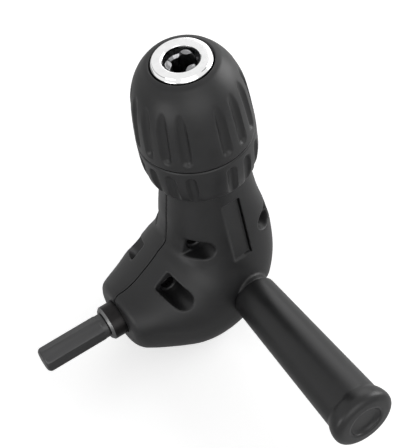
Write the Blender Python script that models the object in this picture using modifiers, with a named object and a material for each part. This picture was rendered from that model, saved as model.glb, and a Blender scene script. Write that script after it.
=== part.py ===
"""Right angle drill adapter.

Two moulded half shells hold a pair of bevel gears at right angles. A hexagonal shank
drives the input gear, and the output gear turns a spindle with a keyless three-jaw
chuck on it. A side handle screws into one of the shells.

X runs out along the shank, Y out along the handle and Z up the chuck. The three axes
meet at the crossing, and the origin is the middle of the shank's end face.
Sizes below are in millimetres and become metres where a mesh is made.
"""
import math

import bmesh
import bpy
from mathutils import Matrix, Vector

MM = 0.001
GAP = 0.3                    # between two pieces that touch on the real object
RUNNING_GAP = 0.4            # round a shaft that turns in a hole

# Shank and input shaft
SHANK_REACH = 75.0           # crossing to the end face of the shank
HEX_LENGTH = 23.0
HEX_ACROSS_CORNERS = 9.5
SHANK_CHAMFER = 1.0
SHANK_NECK_RADIUS = 4.5      # round part between the bush and the hexagon
SHAFT_RADIUS = 4.0
SHAFT_START = 7.5            # inner end of both shafts, measured from the crossing
CLIP_LOW = 8.2               # retaining clip in front of each gear
CLIP_THICKNESS = 0.8
CLIP_DEPTH = 0.5             # how deep the clip sits in the shaft

# Bevel gears, a pair of equal ones
TEETH = 14
GEAR_MODULE = 1.5
FACE_WIDTH = 4.6
PRESSURE_ANGLE = math.radians(20)
TOOTH_THINNING = 0.32        # taken off each tooth's thickness as play
GEAR_BACK = 17.4             # back of the hub, measured from the crossing
GEAR_FRONT = 10.2            # front of the bore
GEAR_HUB_RADIUS = 7.2

# Ball bearings: bore, outer radius, width
SMALL_BEARING = (SHAFT_RADIUS, 9.5, 6.0)
NECK_BEARING = (6.0, 12.0, 6.0)
RACE_SHARE = 0.34            # part of the ring's thickness that each race takes

# Housing
NECK_TOP = 49.5
NECK_RADIUS = 15.0
ARM_END = 43.8
ARM_TOP = 11.3
ARM_BOTTOM = 12.2
ARM_HALF_WIDTH = 13.3
BODY_HALF_WIDTH = 22.3
ARM_EDGE = 3.0               # rounding of the arm's end
NECK_EDGE = 1.0
INNER_FULLNESS = 2.2         # 2 is an ellipse, more is squarer
OUTER_FULLNESS = 3.0
GEAR_ROOM = 12.6             # radius of the room round each gear
SPINDLE_RADIUS = 7.0
NECK_BEARING_BASE = 41.0

# Case screws
SCREW_RADIUS = 1.75
SCREW_HEAD_RADIUS = 3.0
SCREW_SINK = 1.0             # head's top below the pocket's floor
SCREW_HEAD_HEIGHT = 2.2
NUT_ACROSS_FLATS = 5.6
NUT_HEIGHT = 2.6
POCKET_RADIUS = 3.7
POCKET_RUN = 14.0            # how far the pocket's sides run towards the edge
# place on the XZ plane, the angle in which the pocket runs out of the side, and the
# distance of its floor from the parting plane
SCREWS = [
    ((12.3, 26.5), math.radians(8), 8.4),
    ((25.2, 11.4), math.radians(62), 7.8),
    ((-12.4, 25.4), math.radians(172), 8.4),
    ((-7.6, -5.2), None, 8.4),
]

# Name plate recess, left bare
PLATE_WIDTH = 7.0
PLATE_LOW, PLATE_HIGH = 17.5, 43.5
PLATE_FLOOR_LOW, PLATE_FLOOR_HIGH = 17.2, 14.7

# Front bush of the input shaft
BUSH_RADIUS = 6.4
BUSH_PROUD = 5.8
BUSH_BACK = 30.0
BUSH_CHAMFER = 0.8

# Side handle
HANDLE_X = 0.5
HANDLE_LENGTH = 66.2
HANDLE_BASE = 22.3
HANDLE_BASE_RADIUS = 8.25
HANDLE_TIP_RADIUS = 10.15
FLANGE_RADIUS = 11.65
FLANGE_LENGTH = 7.5
DISH_RADIUS = 5.9
BOSS_RADIUS = 8.4
BOSS_FOOT_RADIUS = 10.8      # where the boss flares into the shell
BOSS_FOOT = 15.5
STUD_RADIUS = 3.9
STUD_INNER_END = 13.6
STUD_OUTER_END = 45.0
INSERT_RADIUS = 6.0
WASHER_RADIUS = 6.1
WASHER_THICKNESS = 0.9

# Keyless chuck
BODY_FLANGE_RADIUS = 15.9
FLANGE_CLEARANCE = 0.6       # from the body's flange to the sleeve's bore
SLEEVE_WALL = 3.5
SLEEVE_INNER_RADIUS = BODY_FLANGE_RADIUS + FLANGE_CLEARANCE
CHUCK_RADIUS = SLEEVE_INNER_RADIUS + SLEEVE_WALL
CHUCK_BASE = 50.9
BASE_STEP = 2.6              # how far the rear sleeve draws in at its base
CHUCK_BASE_RADIUS = CHUCK_RADIUS - BASE_STEP
SLEEVE_PARTING = 67.4
PARTING_GROOVE = 0.3
NOSE_TOP = 99.4
NOSE_RING_RADIUS = 10.0
NOSE_HOLE_RADIUS = 6.05
NOSE_RING_HEIGHT = 3.6
NOSE_RING_PLATE = 1.2
MOUTH_CLEARANCE = 0.4
SLEEVE_MOUTH = NOSE_RING_RADIUS + MOUTH_CLEARANCE
# The front sleeve's dome: its share of the way from the mouth to the full radius, and the height.
SLEEVE_DOME = ((3 / 16, 97.7), (15 / 32, 94.7), (2 / 3, 91.3), (19 / 24, 88.0), (85 / 96, 84.0), (23 / 24, 76.0))
BODY_FLANGE_TOP = 75.0
NUT_BASE, NUT_TOP = 77.0, 83.2
CHUCK_BORE = 5.4
CHUCK_FLOOR = 67.0
GROOVE_PITCH = math.radians(20)
GROOVE_RADIUS = 2.0
LAND_EVERY = 6               # every sixth groove is left out and leaves a smooth land
FIRST_LAND = math.radians(72)

# Jaws
JAW_RADIUS = 2.8
JAW_LENGTH = 28.0
JAW_BACK_TRAVEL = 3.6        # from rest to fully open
JAW_TILT = math.radians(17)
JAW_TIP = 98.2               # height of the jaw tips at rest
JAW_TIP_OFFSET = 2.75        # distance of a jaw's own axis from the chuck's axis at its tip
JAW_OPENING = 3.2            # distance of the gripping edges from the chuck's axis at rest
JAW_LAND = 0.5               # half the width of the gripping edge
FIRST_JAW = math.radians(100)

FINISHES = {
    "black_plastic": ((0.030, 0.030, 0.031), 0.48, 0.0),
    "grip_plastic": ((0.034, 0.034, 0.036), 0.42, 0.0),
    "dark_steel": ((0.115, 0.115, 0.118), 0.38, 0.9),
    "black_steel": ((0.035, 0.034, 0.033), 0.34, 0.9),
    "chrome": ((0.62, 0.62, 0.62), 0.12, 1.0),
    "bright_steel": ((0.42, 0.42, 0.43), 0.28, 1.0),
    "gear_steel": ((0.26, 0.25, 0.24), 0.35, 1.0),
    "brass": ((0.58, 0.42, 0.17), 0.3, 1.0),
    "seal_rubber": ((0.02, 0.02, 0.02), 0.75, 0.0),
}


def start_scene():
    """Empties the scene and makes the two collections and the axes that carry the pieces."""
    for old in list(bpy.data.objects):
        bpy.data.objects.remove(old)
    sets = {}
    for name in ("right_angle_drill_adapter", "cutters"):
        sets[name] = bpy.data.collections.new(name)
        bpy.context.scene.collection.children.link(sets[name])
    return sets["right_angle_drill_adapter"], sets["cutters"]


PARTS, CUTTERS = start_scene()


def make_finish(name):
    color, roughness, metallic = FINISHES[name]
    finish = bpy.data.materials.new(name)
    finish.use_nodes = True
    shader = finish.node_tree.nodes["Principled BSDF"]
    shader.inputs["Base Color"].default_value = (*color, 1.0)
    shader.inputs["Roughness"].default_value = roughness
    shader.inputs["Metallic"].default_value = metallic
    return finish


def make_axis(name, place=(0, 0, 0), turn=(0, 0, 0), parent=None):
    """An empty whose own Z axis is the axis of the pieces that hang on it."""
    empty = bpy.data.objects.new(name, None)
    empty.location = Vector(place) * MM
    empty.rotation_euler = turn
    empty.empty_display_size = 10 * MM
    empty.parent = parent
    PARTS.objects.link(empty)
    return empty


CROSSING = make_axis("crossing", (-SHANK_REACH, 0, 0))
CHUCK_AXIS = make_axis("chuck_axis", parent=CROSSING)
INPUT_AXIS = make_axis("input_axis", turn=(0, math.pi / 2, 0), parent=CROSSING)
HANDLE_AXIS = make_axis("handle_axis", (HANDLE_X, 0, 0), (-math.pi / 2, 0, 0), CROSSING)


def add_piece(name, mesh, axis, finish=None):
    """Links a mesh as a part, or as a hidden cutter when it has no finish."""
    piece = bpy.data.objects.new(name, mesh)
    piece.parent = axis
    if finish:
        PARTS.objects.link(piece)
        own = make_finish(finish)
        own.name = name + "_" + finish
        mesh.materials.append(own)
    else:
        CUTTERS.objects.link(piece)
        piece.hide_render = True
        piece.display_type = "WIRE"
    return piece


def combine(piece, other, operation="DIFFERENCE"):
    change = piece.modifiers.new(other.name, "BOOLEAN")
    change.operation = operation
    change.object = other
    change.solver = "EXACT"


def arc(center, radius, start, end, steps):
    """Points on an arc of a turned outline, angles in degrees from the outward direction."""
    points = []
    for i in range(steps + 1):
        angle = math.radians(start + (end - start) * i / steps)
        points.append((center[0] + radius * math.cos(angle), center[1] + radius * math.sin(angle)))
    return points


def turned(name, axis, outline, finish=None, steps=24, on_axis=False):
    """Turns an outline of (radius, height) points, which runs down the outside and up the inside."""
    mesh = bpy.data.meshes.new(name)
    count = len(outline)
    edges = [(i, i + 1) for i in range(count - 1)]
    if not on_axis:
        edges.append((count - 1, 0))
    mesh.from_pydata([(r * MM, 0, h * MM) for r, h in outline], edges, [])
    piece = add_piece(name, mesh, axis, finish)
    screw = piece.modifiers.new("turn", "SCREW")
    screw.axis = "Z"
    screw.angle = 2 * math.pi
    screw.steps = screw.render_steps = steps
    screw.use_merge_vertices = True
    screw.merge_threshold = 0.00001
    screw.use_smooth_shade = True
    return piece


def ring(name, axis, inner, outer, low, high, finish=None, chamfer=0.0, steps=20):
    """A plain turned ring with chamfered outer edges."""
    c = chamfer
    outline = [(outer - c, high), (outer, high - c), (outer, low + c), (outer - c, low), (inner, low), (inner, high)]
    if not c:
        outline = [(outer, high), (outer, low), (inner, low), (inner, high)]
    return turned(name, axis, outline, finish, steps)


def lofted(name, axis, rings, finish=None, closed=False, smooth_angle=35):
    """Joins rings of equal point counts. A closed loft has its last ring meet its first."""
    made = bmesh.new()
    rows = [[made.verts.new(Vector(p) * MM) for p in points] for points in rings]
    pairs = list(zip(rows, rows[1:] + rows[:1] if closed else rows[1:]))
    for a, b in pairs:
        for i in range(len(a)):
            j = (i + 1) % len(a)
            made.faces.new((a[i], a[j], b[j], b[i]))
    if not closed:
        made.faces.new(reversed(rows[0]))
        made.faces.new(rows[-1])
    bmesh.ops.recalc_face_normals(made, faces=made.faces)
    mesh = bpy.data.meshes.new(name)
    made.to_mesh(mesh)
    made.free()
    mesh.shade_smooth()
    mesh.set_sharp_from_angle(angle=math.radians(smooth_angle))
    return add_piece(name, mesh, axis, finish)


def rod_mesh(name, radius, low, high, place=Matrix(), segments=24, top_radius=None):
    """A rod from height low to high along its own Z, moved by a matrix in millimetres."""
    made = bmesh.new()
    middle = Matrix.Translation((0, 0, (low + high) / 2))
    bmesh.ops.create_cone(made, cap_ends=True, segments=segments, radius1=radius,
                          radius2=top_radius if top_radius is not None else radius,
                          depth=high - low, matrix=place @ middle)
    bmesh.ops.scale(made, vec=(MM, MM, MM), verts=made.verts)
    mesh = bpy.data.meshes.new(name)
    made.to_mesh(mesh)
    made.free()
    mesh.shade_smooth()
    mesh.set_sharp_from_angle(angle=math.radians(40))
    return mesh


def polar(radius, angle, height):
    return (radius * math.cos(angle), radius * math.sin(angle), height)


# Housing shells

# Sections of the housing are planes through one line across the inside of the bend, at
# (ARM_END, NECK_TOP). Each row has the turn from the neck's top (0) to the arm's end (1),
# then distances from that line: to the inner skin, to the outer skin, half the width, and
# to the widest place.
STATIONS = [
    (0.0, ARM_END - NECK_RADIUS, ARM_END + NECK_RADIUS, NECK_RADIUS, ARM_END),
    (0.15, 28.8, 61.4, 15.9, 45.1),
    (0.30, 29.9, 69.4, 17.2, 49.3),
    (0.45, 33.0, 78.0, 19.0, 56.2),
    (0.525, 34.9, 79.4, 21.0, 60.2),
    (0.60, 34.8, 79.6, BODY_HALF_WIDTH, 61.3),
    (0.75, 36.0, 75.8, 21.5, 57.6),
    (0.90, 38.0, 69.2, 16.2, 49.6),
    (1.0, NECK_TOP - ARM_TOP, NECK_TOP + ARM_BOTTOM, ARM_HALF_WIDTH, NECK_TOP),
]
SECTION_POINTS = 16
SECTION_TURNS = 18


def station_at(turn):
    """A smooth curve through the stations: cubic pieces with slopes from the neighbours."""
    rows = STATIONS
    k = max(i for i in range(len(rows) - 1) if rows[i][0] <= turn)
    a, b = rows[k], rows[k + 1]
    before, after = rows[max(k - 1, 0)], rows[min(k + 2, len(rows) - 1)]
    span = b[0] - a[0]
    f = (turn - a[0]) / span
    values = []
    for i in range(1, 5):
        slope_a = (b[i] - before[i]) / (b[0] - before[0]) * span
        slope_b = (after[i] - a[i]) / (after[0] - a[0]) * span
        values.append((2 * f**3 - 3 * f**2 + 1) * a[i] + (f**3 - 2 * f**2 + f) * slope_a
                      + (3 * f**2 - 2 * f**3) * b[i] + (f**3 - f**2) * slope_b)
    return values


def edge_inset(turn):
    """How far the section draws in for the rounded edges at the neck's top and the arm's end."""
    inset = 0.0
    for edge, start, reach in ((NECK_EDGE, 0.0, ARM_END), (ARM_EDGE, 1.0, NECK_TOP)):
        near = abs(turn - start) * reach * math.pi / 2
        if near < edge:
            inset = edge - math.sqrt(edge**2 - (edge - near) ** 2)
    return inset


def shell_section(turn, side):
    """One half section of the housing, from the parting plane round the side and back to it."""
    inner, outer, half, widest = station_at(turn)
    inset = edge_inset(turn)
    inner, outer, half = inner + inset, outer - inset, half - inset
    blend = min(1.0, 5 * turn, 5 * (1 - turn))
    angle = math.pi + turn * math.pi / 2
    away = Vector((math.cos(angle), 0, math.sin(angle)))
    base = Vector((ARM_END, 0, NECK_TOP))
    points = []
    for i in range(SECTION_POINTS + 1):
        round_angle = math.pi * (1 - i / SECTION_POINTS)
        c, s = math.cos(round_angle), math.sin(round_angle)
        full = 2 + ((INNER_FULLNESS if c < 0 else OUTER_FULLNESS) - 2) * blend
        reach = (widest - inner) if c < 0 else (outer - widest)
        along = widest + reach * math.copysign(abs(c) ** (2 / full), c)
        width = max(half * max(s, 0.0) ** (2 / full), GAP / 2)
        points.append(base + away * along + Vector((0, side * width, 0)))
    return points


def section_turns():
    """Even turns along the bend, with extra ones on the rounded edges."""
    turns = {round(i / SECTION_TURNS, 4) for i in range(1, SECTION_TURNS)}
    for edge, start, reach, sign in ((NECK_EDGE, 0.0, ARM_END, 1), (ARM_EDGE, 1.0, NECK_TOP, -1)):
        span = edge / (reach * math.pi / 2)
        turns = {t for t in turns if abs(t - start) > span}
        steps = 4 if edge > 2 else 2
        turns |= {start + sign * span * (1 - math.cos(math.pi / 2 * i / steps)) for i in range(steps + 1)}
    return sorted(turns)


def make_shell(name, side, finish="black_plastic"):
    rings = [shell_section(turn, side) for turn in section_turns()]
    shell = lofted(name, CROSSING, rings, finish)
    return shell


def shell_bores():
    """The rooms and bearing seats that both shells share, as turned cutters."""
    seat = SMALL_BEARING[1] + GAP
    seat_end = GEAR_BACK + 0.5 + SMALL_BEARING[2] + GAP
    past = 3.0
    neck_outline = [
        (0, NECK_TOP + past), (NECK_BEARING[1] + GAP, NECK_TOP + past),
        (NECK_BEARING[1] + GAP, NECK_BEARING_BASE - GAP),
        (SPINDLE_RADIUS + RUNNING_GAP, NECK_BEARING_BASE - GAP),
        (SPINDLE_RADIUS + RUNNING_GAP, seat_end), (seat, seat_end), (seat, GEAR_BACK + GAP),
        (GEAR_ROOM, GEAR_BACK + GAP), (GEAR_ROOM, 5.0), (0, 5.0),
    ]
    arm_outline = [
        (0, ARM_END + past), (BUSH_RADIUS + GAP, ARM_END + past),
        (BUSH_RADIUS + GAP, seat_end), (seat, seat_end), (seat, GEAR_BACK + GAP),
        (GEAR_ROOM, GEAR_BACK + GAP), (GEAR_ROOM, 5.0), (0, 5.0),
    ]
    neck = turned("cut_neck_bore", CHUCK_AXIS, neck_outline, steps=32, on_axis=True)
    arm = turned("cut_arm_bore", INPUT_AXIS, arm_outline, steps=32, on_axis=True)
    middle = add_piece("cut_gear_middle", rod_mesh("cut_gear_middle", 8.5, -3.0, 9.0), CHUCK_AXIS)
    return [neck, arm, middle]


def pocket_outline(place, run_angle):
    """A round pocket in the XZ plane whose sides run straight out towards the shell's edge."""
    steps = 10
    if run_angle is None:
        turns = [2 * math.pi * i / (2 * steps) for i in range(2 * steps)]
        return [(place[0] + POCKET_RADIUS * math.cos(t), place[1] + POCKET_RADIUS * math.sin(t)) for t in turns]
    turns = [run_angle + math.pi / 2 + math.pi * i / steps for i in range(steps + 1)]
    points = [(place[0] + POCKET_RADIUS * math.cos(t), place[1] + POCKET_RADIUS * math.sin(t)) for t in turns]
    ends = []
    for x, z in (points[-1], points[0]):
        ends.append((x + POCKET_RUN * math.cos(run_angle), z + POCKET_RUN * math.sin(run_angle)))
    return points + ends


def pocket_cutter(index, side):
    place, run_angle, floor = SCREWS[index]
    outline = pocket_outline(place, run_angle)
    rings = [[(x, side * y, z) for x, z in outline] for y in (floor, BODY_HALF_WIDTH + 5)]
    return lofted(f"cut_pocket_{index + 1}_{'front' if side > 0 else 'back'}", CROSSING, rings)


def screw_axis(index):
    """An axis along Y through a case screw, with its own Z towards the screw's head."""
    place = SCREWS[index][0]
    return make_axis(f"screw_axis_{index + 1}", (place[0], 0, place[1]), (-math.pi / 2, 0, 0), CROSSING)


def make_case_screws(shells):
    """Four screws with round heads in the handle-side pockets, and their nuts in the others."""
    hole = SCREW_RADIUS + GAP
    for index in range(len(SCREWS)):
        axis = screw_axis(index)
        floor = SCREWS[index][2]
        sunk = floor - SCREW_SINK - SCREW_HEAD_HEIGHT - GAP
        bore = add_piece(f"cut_screw_hole_{index + 1}",
                         rod_mesh("hole", hole, -floor - 2, floor + 2, segments=12), axis)
        head_room = add_piece(f"cut_screw_head_{index + 1}",
                              rod_mesh("room", SCREW_HEAD_RADIUS + GAP, sunk, floor + 2, segments=16), axis)
        nut_room = make_nut(f"cut_nut_room_{index + 1}", axis, -floor - 2, -sunk, GAP)
        head_low = sunk + GAP
        head_high = head_low + SCREW_HEAD_HEIGHT
        nut_low = -sunk - GAP - NUT_HEIGHT
        outline = [(0, head_high - 0.9), (0.8, head_high - 0.9), (1.1, head_high), (SCREW_HEAD_RADIUS - 0.8, head_high),
                   (SCREW_HEAD_RADIUS, head_high - 0.9), (SCREW_HEAD_RADIUS, head_low), (SCREW_RADIUS, head_low),
                   (SCREW_RADIUS, nut_low - 0.2), (SCREW_RADIUS - 0.4, nut_low - 0.6), (0, nut_low - 0.6)]
        turned(f"case_screw_{index + 1}", axis, outline, "black_steel", steps=12, on_axis=True)
        make_nut(f"case_nut_{index + 1}", axis, nut_low, -sunk - GAP)
        for shell, side in shells:
            combine(shell, bore)
            combine(shell, pocket_cutter(index, side))
        combine(shells[0][0], head_room)
        combine(shells[1][0], nut_room)


def make_nut(name, axis, low, high, room=None, points=12):
    """A hexagonal nut with its bore, as one closed loft, or the solid cutter for its seat."""
    def hexagon(height):
        ring_points = []
        for i in range(points):
            angle = 2 * math.pi * i / points
            off_flat = (angle + math.pi / 6) % (math.pi / 3) - math.pi / 6
            ring_points.append(polar((NUT_ACROSS_FLATS / 2 + (room or 0)) / math.cos(off_flat), angle, height))
        return ring_points
    if room:
        return lofted(name, axis, [hexagon(low), hexagon(high)])
    def bore(height):
        return [polar(SCREW_RADIUS + GAP, 2 * math.pi * i / points, height) for i in range(points)]
    return lofted(name, axis, [hexagon(high), hexagon(low), bore(low), bore(high)], "dark_steel", closed=True)


def plate_cutter():
    """A shallow recess down the front of the neck, with a flat floor that follows its slope."""
    half = PLATE_WIDTH / 2
    rings = []
    for height, floor in ((PLATE_LOW, PLATE_FLOOR_LOW), (PLATE_HIGH, PLATE_FLOOR_HIGH)):
        rings.append([(half, floor, height), (half, floor + 8, height), (-half, floor + 8, height), (-half, floor, height)])
    return lofted("cut_plate_recess", CROSSING, rings)


def make_housing():
    handle_side = make_shell("housing_handle_side", 1)
    plain_side = make_shell("housing_plain_side", -1)
    boss_mesh = rod_mesh("boss", BOSS_FOOT_RADIUS, BOSS_FOOT, HANDLE_BASE - GAP, segments=32, top_radius=BOSS_RADIUS)
    boss = add_piece("cut_handle_boss", boss_mesh, HANDLE_AXIS)
    combine(handle_side, boss, "UNION")
    shells = ((handle_side, 1), (plain_side, -1))
    for bore in shell_bores():
        for shell, _ in shells:
            combine(shell, bore)
    make_case_screws(shells)
    combine(handle_side, plate_cutter())
    insert_hole = rod_mesh("insert_hole", INSERT_RADIUS + GAP, STUD_INNER_END - 2.6, HANDLE_BASE + 4, segments=24)
    combine(handle_side, add_piece("cut_insert_hole", insert_hole, HANDLE_AXIS))
    ring("neck_seal", CHUCK_AXIS, NECK_BEARING[0] + RUNNING_GAP, NECK_BEARING[1], NECK_BEARING_BASE + NECK_BEARING[2] + GAP,
         NECK_TOP - 0.4, "seal_rubber", 0.3)


# Bearings, bush and spacer

def make_bearing(name, axis, size, low):
    """The two races of a ball bearing, a round groove in each where the balls run."""
    bore, outer, width = size
    high = low + width
    race = (outer - bore) * RACE_SHARE
    middle = (low + high) / 2
    groove = width * 0.22
    dip = 0.5
    inner_outline = [(bore + race, high), (bore + race, middle + groove), (bore + race - dip, middle),
                     (bore + race, middle - groove), (bore + race, low), (bore + GAP, low), (bore + GAP, high)]
    outer_outline = [(outer, high), (outer, low), (outer - race, low), (outer - race, middle - groove),
                     (outer - race + dip, middle), (outer - race, middle + groove), (outer - race, high)]
    turned(name + "_inner_race", axis, inner_outline, "bright_steel", steps=18)
    turned(name + "_outer_race", axis, outer_outline, "bright_steel", steps=18)


def make_bearings():
    base = GEAR_BACK + 0.5
    make_bearing("input_bearing", INPUT_AXIS, SMALL_BEARING, base)
    make_bearing("spindle_bearing", CHUCK_AXIS, SMALL_BEARING, base)
    make_bearing("neck_bearing", CHUCK_AXIS, NECK_BEARING, NECK_BEARING_BASE)
    bush_front = ARM_END + BUSH_PROUD
    c = BUSH_CHAMFER
    inner = SHAFT_RADIUS + RUNNING_GAP
    bush = [(BUSH_RADIUS - c, bush_front), (BUSH_RADIUS, bush_front - c), (BUSH_RADIUS, BUSH_BACK),
            (inner, BUSH_BACK), (inner, bush_front - 0.5), (inner + 0.5, bush_front)]
    turned("front_bush", INPUT_AXIS, bush, "black_steel")
    spacer_low = base + SMALL_BEARING[2] + GAP
    ring("input_spacer", INPUT_AXIS, inner, BUSH_RADIUS, spacer_low, BUSH_BACK - GAP, "bright_steel")


# Bevel gears

def tooth_half_angle(radius, pitch_radius):
    """Half of a tooth's angle at a radius of the developed back cone, by the involute's rule."""
    base = pitch_radius * math.cos(PRESSURE_ANGLE)
    def involute(angle):
        return math.tan(angle) - angle
    at_pitch = (math.pi * GEAR_MODULE / 2 - TOOTH_THINNING) / 2 / pitch_radius
    here = math.acos(min(base / radius, 1.0))
    return at_pitch + involute(PRESSURE_ANGLE) - involute(here)


def gear_ring(scale, turn):
    """The toothed outline on the back cone, drawn in towards the crossing by a scale."""
    cone = math.radians(45)
    pitch_radius = TEETH * GEAR_MODULE / 2
    back_radius = pitch_radius / math.cos(cone)
    apex = pitch_radius / math.tan(cone) + back_radius * math.cos(math.pi / 2 - cone)
    root, tip = back_radius - 1.25 * GEAR_MODULE, back_radius + 0.95 * GEAR_MODULE
    flank = (root, back_radius, tip)
    points = []
    for tooth in range(TEETH):
        middle = turn + 2 * math.pi * tooth / TEETH
        sides = [(r, -1) for r in flank] + [(r, 1) for r in reversed(flank)]
        for slant, side in sides:
            angle = middle + side * tooth_half_angle(slant, back_radius) / math.sin(cone)
            radius = slant * math.sin(cone) * scale
            points.append(polar(radius, angle, (apex - slant * math.cos(cone)) * scale))
    return points


def make_gear(name, axis, turn):
    cone_distance = TEETH * GEAR_MODULE / 2 / math.sin(math.radians(45))
    outer = gear_ring(1.0, turn)
    inner = gear_ring((cone_distance - FACE_WIDTH) / cone_distance, turn)
    angles = [math.atan2(p[1], p[0]) for p in outer]
    apex = TEETH * GEAR_MODULE
    bore = SHAFT_RADIUS + GAP
    def circle(radius, height):
        return [polar(radius, angle, height) for angle in angles]
    rings = [outer, circle(GEAR_HUB_RADIUS, apex - GEAR_HUB_RADIUS), circle(GEAR_HUB_RADIUS, GEAR_BACK),
             circle(bore, GEAR_BACK), circle(bore, GEAR_FRONT), inner]
    return lofted(name, axis, rings, "gear_steel", closed=True, smooth_angle=30)


def make_gear_train():
    """Equal bevel gears: where they meet, one has a tooth and the other a gap."""
    make_gear("output_gear", CHUCK_AXIS, 0.0)
    # the input axis is turned a quarter about Y, so its own angle pi faces the output gear
    make_gear("input_gear", INPUT_AXIS, math.pi + math.pi / TEETH)
    for name, axis in (("spindle_clip", CHUCK_AXIS), ("input_clip", INPUT_AXIS)):
        ring(name, axis, SHAFT_RADIUS - CLIP_DEPTH, SHAFT_RADIUS + 1.1, CLIP_LOW, CLIP_LOW + CLIP_THICKNESS,
             "black_steel", steps=16)


# Input shaft

def make_input_shaft():
    """The hexagonal shank and the round shaft behind it, one piece with grooves for its clip."""
    points = 24
    def round_ring(radius, height):
        return [polar(radius, 2 * math.pi * i / points, height) for i in range(points)]
    def hex_ring(scale, height):
        flat = HEX_ACROSS_CORNERS / 2 * math.cos(math.pi / 6) * scale
        ring_points = []
        for i in range(points):
            angle = 2 * math.pi * i / points
            off_flat = angle % (math.pi / 3) - math.pi / 6
            ring_points.append(polar(flat / math.cos(off_flat), angle, height))
        return ring_points
    neck_start = ARM_END + BUSH_PROUD + GAP
    hex_start = SHANK_REACH - HEX_LENGTH
    clip_low, clip_high = CLIP_LOW - GAP, CLIP_LOW + CLIP_THICKNESS + GAP
    groove = SHAFT_RADIUS - CLIP_DEPTH - GAP
    rings = [
        round_ring(SHAFT_RADIUS - 0.5, SHAFT_START - 0.6), round_ring(SHAFT_RADIUS, SHAFT_START - 0.1),
        round_ring(SHAFT_RADIUS, clip_low), round_ring(groove, clip_low), round_ring(groove, clip_high),
        round_ring(SHAFT_RADIUS, clip_high), round_ring(SHAFT_RADIUS, neck_start),
        round_ring(SHANK_NECK_RADIUS, neck_start), round_ring(SHANK_NECK_RADIUS, hex_start - 0.5),
        hex_ring(1.0, hex_start), hex_ring(1.0, SHANK_REACH - SHANK_CHAMFER),
        round_ring(HEX_ACROSS_CORNERS / 2 - SHANK_CHAMFER, SHANK_REACH),
    ]
    lofted("input_shaft", INPUT_AXIS, rings, "dark_steel")


# Spindle and chuck

def make_spindle():
    """The output shaft, threaded at its top for the chuck, with a tapped hole for the chuck screw."""
    shoulder = GEAR_BACK + 0.5 + SMALL_BEARING[2] + 2 * GAP
    seat = NECK_BEARING[0]
    thread = 4.7
    top = CHUCK_FLOOR - 3.0 - GAP
    clip_low, clip_high = CLIP_LOW - GAP, CLIP_LOW + CLIP_THICKNESS + GAP
    groove = SHAFT_RADIUS - CLIP_DEPTH - GAP
    outline = [
        (0, CHUCK_BASE), (2.6, CHUCK_BASE), (2.6, top), (thread - 0.6, top), (thread, top - 0.6), (thread, CHUCK_BASE + 3.4), (seat, CHUCK_BASE + 3.4),
        (seat, NECK_BEARING_BASE - GAP), (SPINDLE_RADIUS, NECK_BEARING_BASE - GAP), (SPINDLE_RADIUS, shoulder),
        (SHAFT_RADIUS, shoulder), (SHAFT_RADIUS, clip_high), (groove, clip_high), (groove, clip_low),
        (SHAFT_RADIUS, clip_low), (SHAFT_RADIUS, SHAFT_START), (SHAFT_RADIUS - 0.5, SHAFT_START - 0.5),
        (0, SHAFT_START - 0.5),
    ]
    turned("spindle", CHUCK_AXIS, outline, "bright_steel", steps=20, on_axis=True)


def jaw_axis_at(height):
    """Distance of a jaw's own axis from the chuck's axis at a height."""
    return JAW_TIP_OFFSET + (JAW_TIP - height) * math.tan(JAW_TILT)


def jaw_place(index):
    """Where a jaw's axis starts, at its tip, with its own Z along the way it closes."""
    angle = FIRST_JAW + 2 * math.pi * index / 3
    return polar(JAW_TIP_OFFSET, angle, JAW_TIP), (0, -JAW_TILT, angle)


def make_jaws():
    """Three inclined jaws with wedge-shaped gripping edges that stand parallel to the chuck's axis."""
    tall = 40.0
    wide = 20.0
    for index in range(3):
        place, turn = jaw_place(index)
        axis = make_axis(f"jaw_axis_{index + 1}", place, turn, CHUCK_AXIS)
        mesh = rod_mesh("jaw", JAW_RADIUS, -JAW_LENGTH, 0.6, segments=20)
        jaw = add_piece(f"jaw_{index + 1}", mesh, axis, "dark_steel")
        wedge_axis = make_axis(f"wedge_axis_{index + 1}", (0, 0, 0), (0, 0, turn[2]), CHUCK_AXIS)
        edge = [(JAW_OPENING, -JAW_LAND), (JAW_OPENING, JAW_LAND),
                (JAW_OPENING + wide, JAW_LAND + wide * math.sqrt(3)), (-wide, JAW_LAND + wide * math.sqrt(3)),
                (-wide, -JAW_LAND - wide * math.sqrt(3)), (JAW_OPENING + wide, -JAW_LAND - wide * math.sqrt(3))]
        rings = [[(x, y, z) for x, y in edge] for z in (JAW_TIP - tall, JAW_TIP + 10)]
        combine(jaw, lofted(f"cut_jaw_wedge_{index + 1}", wedge_axis, rings))
        tip_cut = [[(-wide, -wide, z), (wide, -wide, z), (wide, wide, z), (-wide, wide, z)] for z in (JAW_TIP, JAW_TIP + 10)]
        combine(jaw, lofted(f"cut_jaw_tip_{index + 1}", wedge_axis, tip_cut))


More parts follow.
